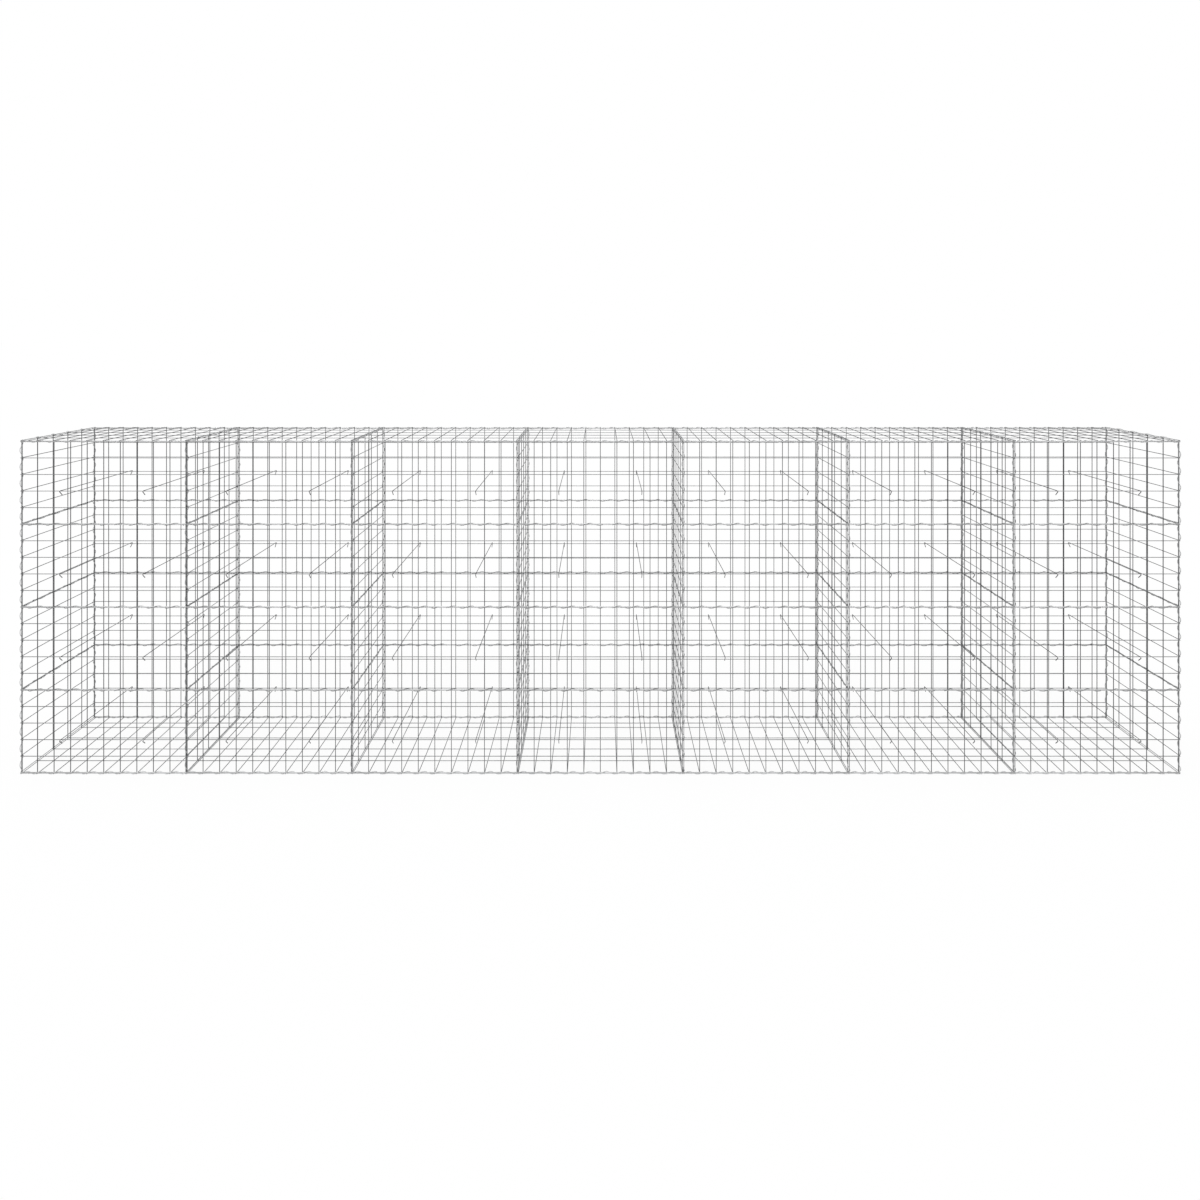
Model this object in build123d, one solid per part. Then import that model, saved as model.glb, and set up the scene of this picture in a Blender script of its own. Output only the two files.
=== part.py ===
"""Empty gabion wall of welded wire mesh: seven bays long, four rows high and one cage deep.

Millimetres. X runs along the wall, Y from front to back and Z up. The origin is on the ground under
the middle of the wall. Seam lines are where the panels of neighbouring cages meet.
"""

from build123d import *
import math
import os

# Cages, measured from seam line to seam line
bay_count = 7
bay_length = 1000.0
row_count = 4
row_height = 500.0
wall_depth = 500.0

# Welded mesh
mesh_cell = 100.0
mesh_wire = 4.0
weld_sink = 0.5  # how far crossing wires sink into each other at a weld
wire_stub = 0.25  # how far upright wires stand past the first and last level wires

# Fits between panels
panel_gap = 0.5  # between the wire ends of two panels in one plane
seat_gap = 0.3  # between wires of two panels that rest on each other

# Cross ties, two in each cage
tie_wire = 4.0
tie_reach = 16.0  # from the mesh to the corner of a tie's hook, before it is rounded
tie_hook_drop = 28.0
tie_hook_back = 21.0
tie_bend_radius = 3.0
tie_level = 2  # which horizontal wire of a row carries the ties, counted from its lowest
tie_share = 4  # a tie is one fourth of a bay from each end of it

# Lacing spirals round the seams, with six-sided turns where the real ones are round
spiral_wire = 3.0
spiral_sides = 6
level_room = 0.6  # from the level wires of a seam to the spiral round them
post_room = 1.3  # the same for the upright wires of a divider's post
end_post_room = 1.9  # and for those of a post at an end of the wall
lid_room = 1.9  # and where two lids meet over a side wall
row_spiral_end = 12.5  # from the end of a bay
post_spiral_end = 8.0  # from the end of a row
cross_spiral_end = 16.0  # from the front and back of the wall

# Turns of the spirals, in cells of the mesh: those between rows are longer than a cell, so that
# each spiral slips back and passes only a few upright wires before the next one begins
row_turn = 1.09
row_spiral_wires = 5  # upright wires that a spiral between rows passes
row_lead = 0.06  # from the first of them to the spiral's highest place
row_head = 0.28  # from the spiral's beginning to the first of them
row_tail = 0.16  # from the last of them to the spiral's end
level_share = 0.25  # from a cross wire to the highest place of a spiral with one turn for each cell
post_share = 0.33  # and of an upright spiral, whose front takes the place of its top

mesh_thickness = 2 * mesh_wire - weld_sink
cells_long = round(bay_length / mesh_cell)
cells_high = round(row_height / mesh_cell)
cells_deep = round(wall_depth / mesh_cell)

# A side wall's wires pass between the edge wires of the two panels that meet in front of them
seam_inset = mesh_wire + seat_gap
# and its own edge wires stand behind those
side_wall_inset = mesh_thickness - mesh_wire / 2
# The edge wires of two rows lie on each other
level_inset = panel_gap / 2 + wire_stub + mesh_wire / 2

panel_length = bay_length - panel_gap
panel_height = row_height - panel_gap
face_outside = wall_depth / 2 + mesh_wire - weld_sink
level_wire_y = face_outside - mesh_wire / 2
side_wall_depth = 2 * (face_outside - mesh_wire - seat_gap)

# Spirals between rows hang on the upper panels' edge wires
spiral_bar = spiral_wire / math.sqrt(2)
level_reach = level_inset + mesh_wire / 2
level_inside = level_reach + level_room
level_hang = level_inside - level_reach - seat_gap

# Upright spirals go round the edge wires of the front or back and of the side wall
post_reach = seam_inset + mesh_wire / 2
post_inside = post_reach + post_room
post_back = 2 * (mesh_wire - weld_sink)
end_post_inset = (post_reach - mesh_wire / 2) / 2
end_post_inside = (post_reach + mesh_wire / 2) / 2 + end_post_room

# Spirals over the side walls hang on the outer corners of the lids' end wires
flat_turn = 2 * math.pi / spiral_sides
lid_corner_in = post_reach * math.sin(flat_turn)
lid_corner_up = (seat_gap + mesh_thickness) * math.cos(flat_turn)
lid_seat = lid_corner_in + lid_corner_up + seat_gap
# and are wide enough to pass under the side wall's highest wire
lid_clear = (lid_seat + (level_reach + seat_gap) * math.cos(flat_turn)) / (1 + math.cos(flat_turn))
lid_inside = max(post_reach + lid_room, lid_clear)
lid_spiral_rise = (lid_seat - lid_inside) / math.cos(flat_turn)

floor_top = mesh_thickness
first_seam = floor_top + seat_gap
last_seam = first_seam + row_count * row_height
wall_start = -bay_count * bay_length / 2


def wire_places(span, cells, edge):
    """Places of parallel wires from the middle of a span: on its cell lines, but the last at the edge."""
    inner = [index * span / cells - span / 2 for index in range(1, cells)]
    return [-edge, *inner, edge]


def face_wires():
    """Places of the upright wires of a front or back panel, and of a lid's wires that cross it."""
    return wire_places(bay_length, cells_long, bay_length / 2 - seam_inset)


def side_wires():
    """Places of the upright wires of a side wall's panel."""
    return wire_places(wall_depth, cells_deep, side_wall_depth / 2 - side_wall_inset)


def level_wires():
    return wire_places(row_height, cells_high, row_height / 2 - level_inset)


def mesh_panel(length, height, uprights, levels):
    """Flat mesh panel: wires along X in front, upright wires welded behind them.

    The front of the panel is the plane Y = 0, and the panel is centred in X and Z.
    """
    seat = (Align.CENTER, Align.MIN, Align.CENTER)
    along = [Pos(0, 0, z) * Box(length, mesh_wire, mesh_wire, align=seat) for z in levels]
    across = [
        Pos(x, mesh_wire - weld_sink, 0) * Box(mesh_wire, mesh_wire, height, align=seat)
        for x in uprights
    ]
    return along[0].fuse(*along[1:], *across).solid()


def cross_tie():
    """Straight wire from front to back with a hook bent down and back at each end, at the origin."""
    corner_y = face_outside + tie_reach
    tip_y = corner_y - tie_hook_back
    points = [
        (0, -tip_y, -tie_hook_drop),
        (0, -corner_y, 0),
        (0, corner_y, 0),
        (0, tip_y, -tie_hook_drop),
    ]
    line = FilletPolyline(*points, radius=tie_bend_radius)
    section = Plane(line @ 0, x_dir=(1, 0, 0), z_dir=line % 0) * Rectangle(tie_wire, tie_wire)
    return sweep(section, path=line).solid()


def spiral(top, pitch, inside, start, end):
    """Spiral along X between the start and the end, which is at its top at the given place."""
    corner = (inside + spiral_wire / 2) / math.cos(math.pi / spiral_sides)
    side_length = pitch / spiral_sides
    first = math.ceil((start - top) / side_length - 0.5)
    last = math.floor((end - top) / side_length - 0.5)
    points = []
    for side in range(first, last + 1):
        count = side + 0.5
        angle = count * flat_turn
        x = top + count * side_length
        points.append((x, corner * math.sin(angle), corner * math.cos(angle)))
    line = Polyline(*points)
    outwards = (0, points[0][1], points[0][2])
    section = Plane(line @ 0, x_dir=outwards, z_dir=line % 0) * Rectangle(spiral_bar, spiral_bar)
    return sweep(section, path=line, transition=Transition.RIGHT).solid()


def seam_spirals():
    """The spirals of one bay between two rows, one after the other."""
    wires = face_wires()
    cell = bay_length / cells_long
    reach = bay_length / 2 - row_spiral_end
    spirals = []
    for first in range(1, cells_long, row_spiral_wires):
        last = min(first + row_spiral_wires, cells_long) - 1
        top = wires[first] + row_lead * cell
        start = -reach if first == 1 else wires[first] - row_head * cell
        end = reach if last == cells_long - 1 else wires[last] + row_tail * cell
        spirals.append(spiral(top, row_turn * cell, level_inside, start, end))
    return spirals


def cell_spiral(wires, share, inside, reach):
    """Spiral with one turn for each cell of the mesh, and its top this share of a cell past a wire."""
    cell = wires[2] - wires[1]
    return spiral(wires[1] + share * cell, cell, inside, -reach, reach)


def bay_middle(bay):
    return wall_start + (bay + 0.5) * bay_length


def row_middle(row):
    return first_seam + (row + 0.5) * row_height


def export_node(name, solids):
    """Write one node, whose solids are like pieces that don't touch."""
    export_step(Compound(children=solids), f"parts/{name}.step")


def face_panels(panel, bay, outside_y, turn):
    """The panels of one bay's front or back, one above the other."""
    return [
        panel.moved(Location((bay_middle(bay), outside_y, row_middle(row)), (0, 0, turn)))
        for row in range(row_count)
    ]


def side_wall_panels(panel, seam_x, inward):
    """The panels of one end or dividing wall, with the upright wires on the inward side."""
    plane_x = seam_x - inward * mesh_wire / 2
    return [
        panel.moved(Location((plane_x, 0, row_middle(row)), (0, 0, -90 * inward)))
        for row in range(row_count)
    ]


def bay_ties(tie, bay):
    """The two ties of each cage of a bay, resting on a horizontal wire of the front and back."""
    wires_x = face_wires()
    wires_z = level_wires()
    tie_cells = (cells_long // tie_share, cells_long - 1 - cells_long // tie_share)
    rest_z = wires_z[tie_level] + mesh_wire / 2 + seat_gap + tie_wire / 2
    return [
        tie.moved(
            Location(
                (
                    bay_middle(bay) + (wires_x[cell] + wires_x[cell + 1]) / 2,
                    0,
                    row_middle(row) + rest_z,
                )
            )
        )
        for row in range(row_count)
        for cell in tie_cells
    ]


def row_spirals():
    """The spirals along the wall, at the front and back of every bay and at every seam."""
    floor_wire_bottom = mesh_wire - weld_sink
    lid_wire_top = last_seam + seat_gap + mesh_wire
    cover_spiral = cell_spiral(
        face_wires(), level_share, level_inside, bay_length / 2 - row_spiral_end
    )
    pieces = [
        (cover_spiral, floor_wire_bottom - seat_gap + level_inside),
        (cover_spiral, lid_wire_top + seat_gap - level_inside),
    ]
    for shape in seam_spirals():
        for row in range(1, row_count):
            pieces.append((shape, first_seam + row * row_height - level_hang))
    return [
        shape.moved(Location((bay_middle(bay), -side * level_wire_y, height), (0, 0, 90 - side * 90)))
        for bay in range(bay_count)
        for shape, height in pieces
        for side in (1, -1)
    ]


def side_wall_spiral_shapes():
    """The upright spirals of dividers and of ends, and those across a wall at a row and at a lid."""
    post_end = row_height / 2 - post_spiral_end
    cross_end = wall_depth / 2 - cross_spiral_end
    return (
        cell_spiral(level_wires(), post_share, post_inside, post_end),
        cell_spiral(level_wires(), post_share, end_post_inside, post_end),
        cell_spiral(side_wires(), level_share, level_inside, cross_end),
        cell_spiral(side_wires(), 0, lid_inside, cross_end),
    )


def side_wall_spirals(shapes, seam_x, inward):
    """The spirals round one side wall: upright at its front and back, and across it at each seam."""
    divider_post, end_post, cross, lid_cross = shapes
    at_end = seam_x in (wall_start, -wall_start)
    post = end_post if at_end else divider_post
    post_x = seam_x + inward * end_post_inset if at_end else seam_x
    post_y = face_outside - post_back
    across = (0, -inward, 0)
    placed = []
    for row in range(row_count):
        for side in (1, -1):
            place = Plane((post_x, -side * post_y, row_middle(row)), (0, 0, 1), (0, -side, 0))
            placed.append(post.moved(place.location))
    for row in range(1, row_count):
        height = first_seam + row * row_height - level_hang
        placed.append(cross.moved(Plane((seam_x, 0, height), across, (0, 0, 1)).location))
    lid_place = Plane((seam_x, 0, last_seam + lid_spiral_rise), across, (0, 0, 1))
    placed.append(lid_cross.moved(lid_place.location))
    return placed


def main():
    os.makedirs("parts", exist_ok=True)
    cover_wires = wire_places(wall_depth, cells_deep, level_wire_y)
    face_panel = mesh_panel(panel_length, panel_height, face_wires(), level_wires())
    side_panel = mesh_panel(side_wall_depth, panel_height, side_wires(), level_wires())
    cover_panel = mesh_panel(panel_length, 2 * face_outside, face_wires(), cover_wires)
    tie = cross_tie()

    for bay in range(bay_count):
        number = bay + 1
        export_node(f"front_panels_bay_{number}", face_panels(face_panel, bay, -face_outside, 0))
        export_node(f"back_panels_bay_{number}", face_panels(face_panel, bay, face_outside, 180))
        lid_place = Location((bay_middle(bay), 0, last_seam + seat_gap), (90, 0, 0))
        export_node(f"lid_bay_{number}", [cover_panel.moved(lid_place)])
        floor_place = Location((bay_middle(bay), 0, floor_top), (-90, 0, 0))
        export_node(f"floor_bay_{number}", [cover_panel.moved(floor_place)])
        export_node(f"ties_bay_{number}", bay_ties(tie, bay))

    side_walls = {"left_end_wall": (wall_start, 1), "right_end_wall": (-wall_start, -1)}
    for number in range(1, bay_count):
        side_walls[f"divider_wall_{number}"] = (wall_start + number * bay_length, -1)
    for name, (seam_x, inward) in side_walls.items():
        export_node(name, side_wall_panels(side_panel, seam_x, inward))

    export_node("row_spirals", row_spirals())
    shapes = side_wall_spiral_shapes()
    placed = []
    for seam_x, inward in side_walls.values():
        placed.extend(side_wall_spirals(shapes, seam_x, inward))
    export_node("side_wall_spirals", placed)


main()
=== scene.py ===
"""Looks for the empty gabion wall: round galvanised wires, welds, lacing spirals and cross ties.

Lengths are in metres, and those of the camera's lens and sensor in millimetres.
"""

import math

import bmesh
import bpy
from mathutils import Matrix, Vector


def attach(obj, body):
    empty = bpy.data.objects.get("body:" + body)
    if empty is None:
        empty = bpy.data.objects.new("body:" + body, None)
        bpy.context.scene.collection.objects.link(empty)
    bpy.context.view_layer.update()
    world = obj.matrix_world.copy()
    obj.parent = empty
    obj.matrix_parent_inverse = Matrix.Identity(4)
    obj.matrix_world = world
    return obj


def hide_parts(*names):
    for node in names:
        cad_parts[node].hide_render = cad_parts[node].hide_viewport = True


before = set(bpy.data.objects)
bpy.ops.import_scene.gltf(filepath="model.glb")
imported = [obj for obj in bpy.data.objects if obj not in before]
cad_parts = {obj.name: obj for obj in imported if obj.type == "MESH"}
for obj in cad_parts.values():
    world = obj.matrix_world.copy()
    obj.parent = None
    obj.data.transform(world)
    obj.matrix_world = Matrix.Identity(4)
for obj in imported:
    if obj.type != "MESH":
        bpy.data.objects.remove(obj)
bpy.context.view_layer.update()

# Cages, from seam line to seam line
BAYS = 7
BAY = 1.0
ROWS = 4
ROW = 0.5
DEPTH = 0.5

# Welded mesh
WIRE = 0.004
WELD_SINK = 0.0005
WIRE_STUB = 0.00025
CELLS_LONG = 10
CELLS_HIGH = 5
CELLS_DEEP = 5
PANEL_GAP = 0.0005
SEAT_GAP = 0.0003
WELD_RADII = (0.0029, 0.0017, 0.0029)

# Cross ties
TIE_WIRE = 0.004
TIE_REACH = 0.016
TIE_DROP = 0.028
TIE_BACK = 0.021
TIE_BEND = 0.0045
TIE_LEVEL = 2
TIE_CELLS = (2, 7)

# Lacing spirals
SPIRAL_WIRE = 0.003
LEVEL_RADIUS = 0.0064
POST_RADIUS = 0.0083
END_POST_RADIUS = 0.0068
LID_RADIUS = 0.0089
LID_RISE = 0.0028
ROW_END = 0.0125
POST_END = 0.008
CROSS_END = 0.016
ROW_TURN = 1.09
ROW_SPIRAL_WIRES = 5
ROW_LEAD = 0.06
ROW_HEAD = 0.28
ROW_TAIL = 0.16
LEVEL_SHARE = 0.25
POST_SHARE = 0.33

# Where panels, seams and posts lie
THICKNESS = 2 * WIRE - WELD_SINK
SEAM_INSET = WIRE + SEAT_GAP
LEVEL_INSET = PANEL_GAP / 2 + WIRE_STUB + WIRE / 2
SIDE_INSET = THICKNESS - WIRE / 2
PANEL_LENGTH = BAY - PANEL_GAP
PANEL_HEIGHT = ROW - PANEL_GAP
OUTSIDE = DEPTH / 2 + WIRE - WELD_SINK
LEVEL_Y = OUTSIDE - WIRE / 2
POST_Y = OUTSIDE - 2 * (WIRE - WELD_SINK)
END_POST_INSET = SEAM_INSET / 2
LEVEL_HANG = LEVEL_RADIUS - SPIRAL_WIRE / 2 - LEVEL_INSET - WIRE / 2
SIDE_DEPTH = 2 * (OUTSIDE - WIRE - SEAT_GAP)
FLOOR_TOP = THICKNESS
FIRST_SEAM = FLOOR_TOP + SEAT_GAP
LAST_SEAM = FIRST_SEAM + ROWS * ROW
START = -BAYS * BAY / 2

# How finely wires are modelled
WIRE_SIDES = 12
SPIRAL_SIDES = 8
STEPS_PER_TURN = 18
TIE_BEND_STEPS = 6
END_ROUNDING = 0.0007
MERGE_DISTANCE = 0.00001

# What all zinc shares
METALLIC = 0.6
CLOUD_SCALE = 14
CLOUD_DETAIL = 3
CRYSTAL_SHARE = 0.45
TONE_START = 0.3
TONE_END = 0.7
ROUGHNESS_RANGE = 0.22
PIT_SCALE = 900
PIT_DETAIL = 2
PIT_STRENGTH = 0.25
PIT_DEPTH = 0.0004

# Floor, light and camera
WHITE = (1, 1, 1, 1)
WORLD_FILL = 0.3
FLOOR_SHADE = 0.1
FLOOR_HEIGHT = -0.0005
FLOOR_REACH = 200
SUN_POWER = 2.3
SUN_SPREAD = math.radians(50)
SUN_AIM = Vector((0.08, 0.25, -1))
CAMERA_PLACE = (0, -3.6773, 2.6352)
CAMERA_LENS = 17.03
CAMERA_SENSOR = 36
CAMERA_SHIFT_X = -0.0003
CAMERA_SHIFT_Y = -0.21884


def bay_middle(bay):
    return START + (bay + 0.5) * BAY


def row_middle(row):
    return FIRST_SEAM + (row + 0.5) * ROW


def wire_places(span, cells, edge):
    """Places of parallel wires from the middle of a span: its cell lines, and an edge each side."""
    return [-edge, *(index * span / cells - span / 2 for index in range(1, cells)), edge]


FACE_WIRES = wire_places(BAY, CELLS_LONG, BAY / 2 - SEAM_INSET)
SIDE_WIRES = wire_places(DEPTH, CELLS_DEEP, SIDE_DEPTH / 2 - SIDE_INSET)
COVER_WIRES = wire_places(DEPTH, CELLS_DEEP, LEVEL_Y)
LEVEL_WIRES = wire_places(ROW, CELLS_HIGH, ROW / 2 - LEVEL_INSET)


# Materials


def ranged(tree, value, low, high):
    """A number that is low where the value is 0 and high where it is 1."""
    level = tree.nodes.new("ShaderNodeMapRange")
    level.inputs["To Min"].default_value = low
    level.inputs["To Max"].default_value = high
    tree.links.new(value, level.inputs["Value"])
    return level.outputs["Result"]


def clouds(tree, place, scale, detail):
    """Soft noise, from 0 to 1."""
    noise = tree.nodes.new("ShaderNodeTexNoise")
    noise.inputs["Scale"].default_value = scale
    noise.inputs["Detail"].default_value = detail
    tree.links.new(place, noise.inputs["Vector"])
    return noise.outputs["Fac"]


def galvanised(name, dark, light, roughness, grain):
    """Dull zinc: a broad cloudy tone, fine crystals, an uneven sheen and small pits."""
    material = bpy.data.materials.new(name)
    material.use_nodes = True
    tree = material.node_tree
    zinc = tree.nodes["Principled BSDF"]
    zinc.inputs["Metallic"].default_value = METALLIC
    place = tree.nodes.new("ShaderNodeTexCoord").outputs["Object"]

    crystals = tree.nodes.new("ShaderNodeTexVoronoi")
    crystals.inputs["Scale"].default_value = grain
    tree.links.new(place, crystals.inputs["Vector"])
    blend = tree.nodes.new("ShaderNodeMix")
    blend.inputs["Factor"].default_value = CRYSTAL_SHARE
    tree.links.new(clouds(tree, place, CLOUD_SCALE, CLOUD_DETAIL), blend.inputs["A"])
    tree.links.new(crystals.outputs["Color"], blend.inputs["B"])
    mottle = blend.outputs["Result"]

    tone = tree.nodes.new("ShaderNodeValToRGB")
    start, end = tone.color_ramp.elements
    start.position = TONE_START
    start.color = (*dark, 1)
    end.position = TONE_END
    end.color = (*light, 1)
    tree.links.new(mottle, tone.inputs["Fac"])
    tree.links.new(tone.outputs["Color"], zinc.inputs["Base Color"])

    rough = ranged(tree, mottle, roughness, roughness + ROUGHNESS_RANGE)
    tree.links.new(rough, zinc.inputs["Roughness"])

    bump = tree.nodes.new("ShaderNodeBump")
    bump.inputs["Strength"].default_value = PIT_STRENGTH
    bump.inputs["Distance"].default_value = PIT_DEPTH
    tree.links.new(clouds(tree, place, PIT_SCALE, PIT_DETAIL), bump.inputs["Height"])
    tree.links.new(bump.outputs["Normal"], zinc.inputs["Normal"])
    return material


# The level, upright, edge, post and cross zinc are lighter and darker copies of one galvanised
# zinc: painted light and painted highlights where wires should look lit from above, painted shade
# on the uprights and other wires that should look darker
PAINTED_LIGHT_ZINC = galvanised(
    "painted light zinc", dark=(0.20, 0.205, 0.21), light=(0.32, 0.325, 0.33), roughness=0.38, grain=260
)
PAINTED_SHADE_ZINC = galvanised(
    "painted shade zinc", dark=(0.07, 0.072, 0.074), light=(0.13, 0.132, 0.135), roughness=0.38, grain=260
)
PAINTED_HIGHLIGHT_ZINC = galvanised(
    "painted highlight zinc", dark=(0.53, 0.535, 0.54), light=(0.67, 0.675, 0.68), roughness=0.34, grain=260
)
PAINTED_BRIGHT_ZINC = galvanised(
    "painted bright light zinc", dark=(0.28, 0.285, 0.29), light=(0.40, 0.405, 0.41), roughness=0.34, grain=260
)
PAINTED_HALF_SHADE_ZINC = galvanised(
    "painted half shade zinc", dark=(0.09, 0.092, 0.095), light=(0.16, 0.163, 0.167), roughness=0.36, grain=260
)
WELD_ZINC = galvanised(
    "weld zinc", dark=(0.12, 0.123, 0.126), light=(0.20, 0.204, 0.208), roughness=0.5, grain=500
)
# The spiral and lace zinc are a darker and a paler copy of the one lacing wire's zinc: painted
# shade on the spirals at the row seams, painted light on the other spirals
PAINTED_SHADE_SPIRAL_ZINC = galvanised(
    "painted shade spiral zinc", dark=(0.13, 0.133, 0.137), light=(0.22, 0.224, 0.229), roughness=0.32, grain=320
)
PAINTED_LIGHT_SPIRAL_ZINC = galvanised(
    "painted light spiral zinc", dark=(0.48, 0.485, 0.49), light=(0.62, 0.625, 0.63), roughness=0.32, grain=320
)
TIE_ZINC = galvanised(
    "tie zinc", dark=(0.06, 0.062, 0.064), light=(0.12, 0.122, 0.125), roughness=0.36, grain=260
)

# A piece's materials, and the number of each among them
MESH_ZINC = (PAINTED_LIGHT_ZINC, PAINTED_SHADE_ZINC, PAINTED_HIGHLIGHT_ZINC, PAINTED_BRIGHT_ZINC, PAINTED_HALF_SHADE_ZINC, WELD_ZINC)
PAINTED_LIGHT, PAINTED_SHADE, PAINTED_HIGHLIGHT, PAINTED_BRIGHT, PAINTED_HALF_SHADE, WELD = range(len(MESH_ZINC))
LACING_ZINC = (PAINTED_SHADE_SPIRAL_ZINC, PAINTED_LIGHT_SPIRAL_ZINC)
PAINTED_SHADE_SPIRAL, PAINTED_LIGHT_SPIRAL = range(len(LACING_ZINC))

# A panel's level wires, the outermost of them, its wires across and the outermost of those, each in
# a lighter or darker copy of the zinc whose lightness is painted light or painted shade
FACE_TONES = (PAINTED_LIGHT, PAINTED_HIGHLIGHT, PAINTED_SHADE, PAINTED_BRIGHT)
END_TONES = (PAINTED_HALF_SHADE, PAINTED_LIGHT, PAINTED_SHADE, PAINTED_BRIGHT)
DIVIDER_TONES = (PAINTED_LIGHT, PAINTED_BRIGHT, PAINTED_SHADE, PAINTED_BRIGHT)
COVER_TONES = (PAINTED_BRIGHT, PAINTED_HIGHLIGHT, PAINTED_HALF_SHADE, PAINTED_LIGHT)


# Shapes


def round_ends(bm):
    """Close open wire ends and take the sharp edge off them."""
    rims = [edge for edge in bm.edges if edge.is_boundary]
    for cap in bmesh.ops.holes_fill(bm, edges=rims, sides=0)["faces"]:
        cap.material_index = max(face.material_index for face in cap.edges[0].link_faces)
    bmesh.ops.bevel(
        bm, geom=rims, offset=END_ROUNDING, segments=1, profile=0.5, affect="EDGES", material=-1
    )


def to_mesh(bm, name):
    bmesh.ops.recalc_face_normals(bm, faces=bm.faces)
    for face in bm.faces:
        face.smooth = True
    mesh = bpy.data.meshes.new(name)
    bm.to_mesh(mesh)
    bm.free()
    return mesh


def toned(verts, tone):
    """Give the faces of a new shape one of its piece's materials."""
    for face in {face for vert in verts for face in vert.link_faces}:
        face.material_index = tone


def straight_wire(bm, length, matrix, tone):
    """Mesh wire along the matrix's Z axis, centred on it, with open ends."""
    wire = bmesh.ops.create_cone(
        bm, segments=WIRE_SIDES, radius1=WIRE / 2, radius2=WIRE / 2, depth=length,
        cap_ends=False, matrix=matrix,
    )
    toned(wire["verts"], tone)


def mesh_panel(name, length, height, uprights, levels, tones):
    """Flat panel with its front at Y = 0: level wires in front, the wires across welded behind."""
    bm = bmesh.new()
    level, outer_level, upright, outer_upright = tones
    along = Matrix.Rotation(math.pi / 2, 4, "Y")
    for z in levels:
        place = Matrix.Translation((0, WIRE / 2, z))
        tone = outer_level if abs(z) == levels[-1] else level
        straight_wire(bm, length, place @ along, tone)
    for x in uprights:
        place = Matrix.Translation((x, WIRE * 1.5 - WELD_SINK, 0))
        tone = outer_upright if abs(x) == uprights[-1] else upright
        straight_wire(bm, height, place, tone)
    round_ends(bm)
    for x in uprights:
        for z in levels:
            place = Matrix.Translation((x, WIRE - WELD_SINK / 2, z))
            weld = bmesh.ops.create_icosphere(
                bm, subdivisions=1, radius=1, matrix=place @ Matrix.Diagonal((*WELD_RADII, 1))
            )
            toned(weld["verts"], WELD)
    return to_mesh(bm, name)


def pushed(bm, edges, move):
    """Extrude a rim by a straight move and return the new rim."""
    made = bmesh.ops.extrude_edge_only(bm, edges=edges)["geom"]
    verts = [item for item in made if isinstance(item, bmesh.types.BMVert)]
    bmesh.ops.translate(bm, vec=move, verts=verts)
    return [item for item in made if isinstance(item, bmesh.types.BMEdge) and item.is_boundary]


def turned(bm, edges, centre, axis, angle, steps, stride=(0, 0, 0)):
    """Turn a rim round an axis, one stride on at each step, and return the new rim."""
    made = bmesh.ops.spin(
        bm, geom=edges, cent=centre, axis=axis, angle=angle, steps=steps, dvec=stride
    )["geom_last"]
    return [item for item in made if isinstance(item, bmesh.types.BMEdge)]


def cross_tie():
    """Straight wire from front to back with a hook bent down and back at each end."""
    bm = bmesh.new()
    corner = Vector((0, -OUTSIDE - TIE_REACH, 0))
    tip = corner + Vector((0, TIE_BACK, -TIE_DROP))
    leg = corner - tip
    turn = leg.angle(Vector((0, 1, 0)))
    cut = TIE_BEND * math.tan(turn / 2)
    facing = leg.to_track_quat("Z", "X").to_matrix().to_4x4()
    bmesh.ops.create_circle(
        bm, segments=WIRE_SIDES, radius=TIE_WIRE / 2, matrix=Matrix.Translation(tip) @ facing
    )
    rim = pushed(bm, bm.edges[:], leg.normalized() * (leg.length - cut))
    centre = corner + Vector((0, cut, -TIE_BEND))
    rim = turned(bm, rim, centre, (-1, 0, 0), turn, TIE_BEND_STEPS)
    pushed(bm, rim, Vector((0, -corner.y - cut, 0)))
    half = bm.verts[:] + bm.edges[:] + bm.faces[:]
    bmesh.ops.mirror(bm, geom=half, axis="Y", merge_dist=MERGE_DISTANCE)
    round_ends(bm)
    return to_mesh(bm, "tie")


def spiral(name, top, pitch, radius, start, end, tone):
    """Round spiral along X from start to end, which is at its top at the given place."""
    bm = bmesh.new()
    angle = 2 * math.pi * (start - top) / pitch
    turns = (end - start) / pitch
    out = radius * Vector((0, math.sin(angle), math.cos(angle)))
    course = Vector((pitch / (2 * math.pi), out.z, -out.y))
    facing = course.to_track_quat("Z", "X").to_matrix().to_4x4()
    place = Matrix.Translation(out + Vector((start, 0, 0)))
    bmesh.ops.create_circle(
        bm, segments=SPIRAL_SIDES, radius=SPIRAL_WIRE / 2, matrix=place @ facing
    )
    steps = round(turns * STEPS_PER_TURN)
    stride = ((end - start) / steps, 0, 0)
    turned(bm, bm.edges[:], (0, 0, 0), (-1, 0, 0), 2 * math.pi * turns, steps, stride)
    round_ends(bm)
    toned(bm.verts, tone)
    return to_mesh(bm, name)


# Putting pieces together


def assembled(name, node, materials, parts):
    """Make one piece from copies of meshes, which stands for a CAD node."""
    bm = bmesh.new()
    for mesh, matrix in parts:
        start = len(bm.verts)
        bm.from_mesh(mesh)
        bm.verts.ensure_lookup_table()
        bmesh.ops.transform(bm, matrix=matrix, verts=bm.verts[start:])
    mesh = bpy.data.meshes.new(name)
    bm.to_mesh(mesh)
    bm.free()
    for material in materials:
        mesh.materials.append(material)
    piece = bpy.data.objects.new(name, mesh)
    bpy.context.scene.collection.objects.link(piece)
    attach(piece, "root")
    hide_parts(node)


def turned_z(place, degrees):
    return Matrix.Translation(place) @ Matrix.Rotation(math.radians(degrees), 4, "Z")


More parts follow.
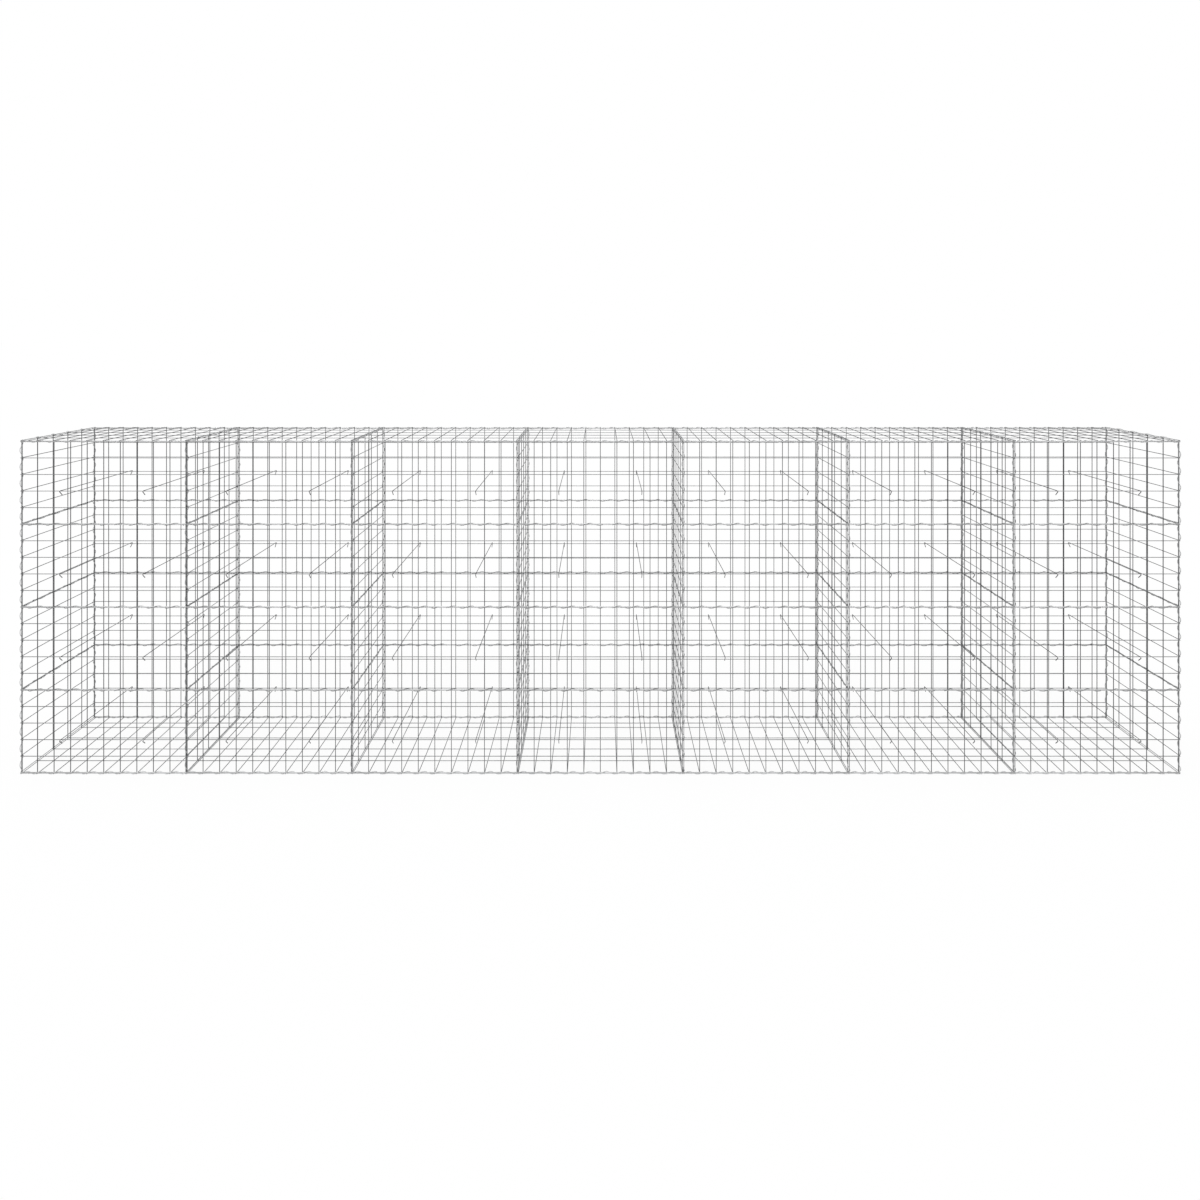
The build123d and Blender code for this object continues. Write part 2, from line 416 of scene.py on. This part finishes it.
def face_parts(panel, bay, side):
    """The panels of one bay at the front, side 1, or at the back, side -1."""
    return [
        (panel, turned_z((bay_middle(bay), -side * OUTSIDE, row_middle(row)), 90 - 90 * side))
        for row in range(ROWS)
    ]


def side_wall_parts(panel, seam, inward):
    """The panels across the wall at a seam, their upright wires to its right, 1, or left, -1."""
    return [
        (panel, turned_z((seam - inward * WIRE / 2, 0, row_middle(row)), -90 * inward))
        for row in range(ROWS)
    ]


def cover_part(panel, bay, height, tilt):
    """The panel of a lid or floor, laid flat with its front at a height."""
    place = Matrix.Translation((bay_middle(bay), 0, height))
    return [(panel, place @ Matrix.Rotation(math.radians(tilt), 4, "X"))]


def tie_parts(tie, bay):
    """The ties of one bay, which rest on a level wire of each row."""
    rest = LEVEL_WIRES[TIE_LEVEL] + WIRE / 2 + TIE_WIRE / 2
    parts = []
    for row in range(ROWS):
        for cell in TIE_CELLS:
            x = bay_middle(bay) + (FACE_WIRES[cell] + FACE_WIRES[cell + 1]) / 2
            parts.append((tie, Matrix.Translation((x, 0, row_middle(row) + rest))))
    return parts


def seam_spirals():
    """The spirals of one bay between two rows, one after the other."""
    cell = BAY / CELLS_LONG
    reach = BAY / 2 - ROW_END
    spirals = []
    for first in range(1, CELLS_LONG, ROW_SPIRAL_WIRES):
        last = min(first + ROW_SPIRAL_WIRES, CELLS_LONG) - 1
        top = FACE_WIRES[first] + ROW_LEAD * cell
        start = -reach if first == 1 else FACE_WIRES[first] - ROW_HEAD * cell
        end = reach if last == CELLS_LONG - 1 else FACE_WIRES[last] + ROW_TAIL * cell
        # The seam spirals take the dark copy of the zinc, which is painted shade
        spirals.append(spiral("seam", top, ROW_TURN * cell, LEVEL_RADIUS, start, end, PAINTED_SHADE_SPIRAL))
    return spirals


def cell_spiral(name, wires, share, radius, reach):
    """Spiral in the pale copy of the zinc, which is painted light, with one turn for each cell, at
    its top at a share of the cell's width.
    """
    cell = wires[2] - wires[1]
    return spiral(name, wires[1] + share * cell, cell, radius, -reach, reach, PAINTED_LIGHT_SPIRAL)


def row_spiral_parts():
    """The spirals along the wall, at the floors, at the seams between rows and at the lids."""
    inside = LEVEL_RADIUS - SPIRAL_WIRE / 2
    cover = cell_spiral("cover", FACE_WIRES, LEVEL_SHARE, LEVEL_RADIUS, BAY / 2 - ROW_END)
    pieces = [
        (cover, WIRE - WELD_SINK + inside),
        (cover, LAST_SEAM + SEAT_GAP + WIRE - inside),
    ]
    for mesh in seam_spirals():
        for row in range(1, ROWS):
            pieces.append((mesh, FIRST_SEAM + row * ROW - LEVEL_HANG))
    return [
        (mesh, turned_z((bay_middle(bay), -side * LEVEL_Y, height), 90 - 90 * side))
        for bay in range(BAYS)
        for mesh, height in pieces
        for side in (1, -1)
    ]


def standing(place, along, up):
    """Placement whose X axis runs along and whose Z axis points up, as given."""
    x = Vector(along)
    z = Vector(up)
    y = z.cross(x)
    return Matrix.Translation(place) @ Matrix((x, y, z)).transposed().to_4x4()


def side_wall_spiral_parts(walls):
    """The upright spirals of each side wall, and those across at its seams and at the lids."""
    post_end = ROW / 2 - POST_END
    cross_end = DEPTH / 2 - CROSS_END
    divider_post = cell_spiral("post", LEVEL_WIRES, POST_SHARE, POST_RADIUS, post_end)
    end_post = cell_spiral("end post", LEVEL_WIRES, POST_SHARE, END_POST_RADIUS, post_end)
    cross = cell_spiral("cross", SIDE_WIRES, LEVEL_SHARE, LEVEL_RADIUS, cross_end)
    lid_cross = cell_spiral("lid cross", SIDE_WIRES, 0, LID_RADIUS, cross_end)
    parts = []
    for seam, inward in walls:
        at_end = abs(seam) == -START
        post = end_post if at_end else divider_post
        post_x = seam + inward * END_POST_INSET if at_end else seam
        across = (0, -inward, 0)
        for row in range(ROWS):
            for side in (1, -1):
                place = (post_x, -side * POST_Y, row_middle(row))
                parts.append((post, standing(place, (0, 0, 1), (0, -side, 0))))
        for row in range(1, ROWS):
            place = (seam, 0, FIRST_SEAM + row * ROW - LEVEL_HANG)
            parts.append((cross, standing(place, across, (0, 0, 1))))
        parts.append((lid_cross, standing((seam, 0, LAST_SEAM + LID_RISE), across, (0, 0, 1))))
    return parts


face_panel = mesh_panel("face", PANEL_LENGTH, PANEL_HEIGHT, FACE_WIRES, LEVEL_WIRES, FACE_TONES)
end_panel = mesh_panel("end", SIDE_DEPTH, PANEL_HEIGHT, SIDE_WIRES, LEVEL_WIRES, END_TONES)
divider_panel = mesh_panel(
    "divider", SIDE_DEPTH, PANEL_HEIGHT, SIDE_WIRES, LEVEL_WIRES, DIVIDER_TONES
)
cover_panel = mesh_panel("cover", PANEL_LENGTH, 2 * OUTSIDE, FACE_WIRES, COVER_WIRES, COVER_TONES)
tie = cross_tie()
for bay in range(BAYS):
    number = bay + 1
    for side, where in ((1, "front"), (-1, "back")):
        node = f"{where}_panels_bay_{number}"
        parts = face_parts(face_panel, bay, side)
        assembled(f"{where}_mesh_bay_{number}", node, MESH_ZINC, parts)
    lid = cover_part(cover_panel, bay, LAST_SEAM + SEAT_GAP, 90)
    assembled(f"lid_mesh_bay_{number}", f"lid_bay_{number}", MESH_ZINC, lid)
    floor = cover_part(cover_panel, bay, FLOOR_TOP, -90)
    assembled(f"floor_mesh_bay_{number}", f"floor_bay_{number}", MESH_ZINC, floor)
    ties = tie_parts(tie, bay)
    assembled(f"tie_wires_bay_{number}", f"ties_bay_{number}", (TIE_ZINC,), ties)

walls = {"left_end_wall": (START, 1), "right_end_wall": (-START, -1)}
for number in range(1, BAYS):
    walls[f"divider_wall_{number}"] = (START + number * BAY, -1)
for node, (seam, inward) in walls.items():
    panel = divider_panel if node.startswith("divider") else end_panel
    parts = side_wall_parts(panel, seam, inward)
    assembled(f"{node}_mesh", node, MESH_ZINC, parts)

along = row_spiral_parts()
assembled("seam_spirals", "row_spirals", LACING_ZINC, along)
around = side_wall_spiral_parts(walls.values())
assembled("post_and_cross_spirals", "side_wall_spirals", LACING_ZINC, around)


# Floor, light and camera


def seen_rays(tree):
    """1 for the rays that the camera sends, directly or in a reflection, and otherwise 0."""
    rays = tree.nodes.new("ShaderNodeLightPath")
    seen = rays.outputs["Is Camera Ray"]
    for kind in ("Is Glossy Ray", "Is Transmission Ray"):
        either = tree.nodes.new("ShaderNodeMath")
        either.operation = "MAXIMUM"
        tree.links.new(seen, either.inputs[0])
        tree.links.new(rays.outputs[kind], either.inputs[1])
        seen = either.outputs["Value"]
    return seen


def floor_sheet(lit):
    """Plain pale floor, which is white to the camera where no shadow falls on it."""
    material = bpy.data.materials.new("pale floor")
    material.use_nodes = True
    tree = material.node_tree
    base = tree.nodes["Principled BSDF"]
    base.inputs["Base Color"].default_value = (FLOOR_SHADE, FLOOR_SHADE, FLOOR_SHADE, 1)
    base.inputs["Roughness"].default_value = 1
    base.inputs["Specular IOR Level"].default_value = 0
    base.inputs["Emission Color"].default_value = WHITE
    glow = ranged(tree, seen_rays(tree), 0, 1 - lit)
    tree.links.new(glow, base.inputs["Emission Strength"])
    bm = bmesh.new()
    place = Matrix.Translation((0, 0, FLOOR_HEIGHT))
    bmesh.ops.create_grid(bm, x_segments=1, y_segments=1, size=FLOOR_REACH, matrix=place)
    mesh = bpy.data.meshes.new("floor")
    bm.to_mesh(mesh)
    bm.free()
    mesh.materials.append(material)
    piece = bpy.data.objects.new("floor", mesh)
    bpy.context.scene.collection.objects.link(piece)


def key_light():
    """Wide soft light from above. Returns how brightly it lights a white floor."""
    lamp = bpy.data.lights.new("key light", "SUN")
    lamp.energy = SUN_POWER
    lamp.angle = SUN_SPREAD
    holder = bpy.data.objects.new("key light", lamp)
    holder.rotation_euler = SUN_AIM.to_track_quat("-Z", "Y").to_euler()
    bpy.context.scene.collection.objects.link(holder)
    return -SUN_AIM.normalized().z * SUN_POWER / math.pi


scene = bpy.context.scene
scene.view_settings.view_transform = "Standard"
world = bpy.data.worlds.new("studio")
scene.world = world
world.use_nodes = True
sky = world.node_tree.nodes["Background"]
sky.inputs["Color"].default_value = WHITE
strength = ranged(world.node_tree, seen_rays(world.node_tree), WORLD_FILL, 1)
world.node_tree.links.new(strength, sky.inputs["Strength"])
floor_sheet(FLOOR_SHADE * (WORLD_FILL + key_light()))

camera = bpy.data.objects.new("camera", bpy.data.cameras.new("camera"))
camera.data.lens = CAMERA_LENS
camera.data.sensor_width = CAMERA_SENSOR
camera.data.shift_x = CAMERA_SHIFT_X
camera.data.shift_y = CAMERA_SHIFT_Y
camera.location = CAMERA_PLACE
camera.rotation_euler = (math.pi / 2, 0, 0)
scene.collection.objects.link(camera)
scene.camera = camera

bpy.context.view_layer.update()
